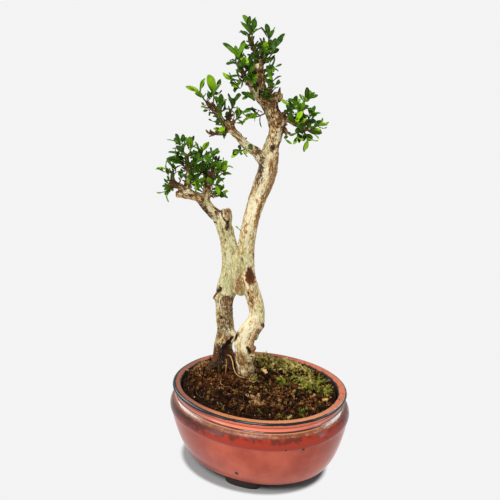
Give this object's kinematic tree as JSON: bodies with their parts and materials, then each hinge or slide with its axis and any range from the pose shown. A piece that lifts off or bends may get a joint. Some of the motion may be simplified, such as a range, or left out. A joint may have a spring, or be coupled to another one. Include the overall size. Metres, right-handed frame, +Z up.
{
  "type": "serissa bonsai in a glazed oval pot",
  "caption": "Small serissa bonsai with pale trunks grown together at mid height and leafy crowns on bare branches, in an oval red-brown glazed pot on low feet.",
  "frame": {"origin": "on the surface the pot stands on, under the middle of the pot's oval", "axes": "+Z up; +X along the pot's length; -Y is the pot's front side. The tree is planted turned 35 degrees counter-clockwise from the pot, seen from above, so its flat view faces azimuth 35"},
  "size_m": [0.127, 0.108, 0.2988],
  "materials": {
    "glaze": "glossy red-brown glaze, darker and mottled at the shoulder and rim",
    "earth": "dark crumbly potting soil with moss and dry fibres",
    "bark": "pale smooth bark with brown flecks, dark scars and rough patches",
    "leaf": "small satin leaves, dark green with lime young growth"
  },
  "bodies": {
    "root": {"pot": "glaze", "soil": "earth", "trunk": "bark", "spray_apex_01": "leaf", "spray_apex_02": "leaf", "spray_apex_03": "leaf", "spray_apex_04": "leaf", "spray_apex_05": "leaf", "spray_apex_06": "leaf", "spray_apex_07": "leaf", "spray_apex_08": "leaf", "spray_apex_09": "leaf", "spray_apex_10": "leaf", "spray_apex_11": "leaf", "spray_apex_12": "leaf", "spray_apex_13": "leaf", "spray_apex_14": "leaf", "spray_apex_15": "leaf", "spray_left_01": "leaf", "spray_left_02": "leaf", "spray_left_03": "leaf", "spray_left_04": "leaf", "spray_left_05": "leaf", "spray_left_06": "leaf", "spray_left_07": "leaf", "spray_left_08": "leaf", "spray_left_09": "leaf", "spray_left_10": "leaf", "spray_left_11": "leaf", "spray_left_12": "leaf", "spray_left_13": "leaf", "spray_left_14": "leaf", "spray_left_15": "leaf", "spray_left_16": "leaf", "spray_middle_01": "leaf", "spray_middle_02": "leaf", "spray_middle_03": "leaf", "spray_middle_04": "leaf", "spray_middle_05": "leaf", "spray_middle_06": "leaf", "spray_middle_07": "leaf", "spray_middle_08": "leaf", "spray_middle_09": "leaf", "spray_right_01": "leaf", "spray_right_02": "leaf", "spray_right_03": "leaf", "spray_right_04": "leaf", "spray_right_05": "leaf", "spray_right_06": "leaf", "spray_right_07": "leaf", "spray_right_08": "leaf", "spray_right_09": "leaf"}
  },
  "joints": []
}
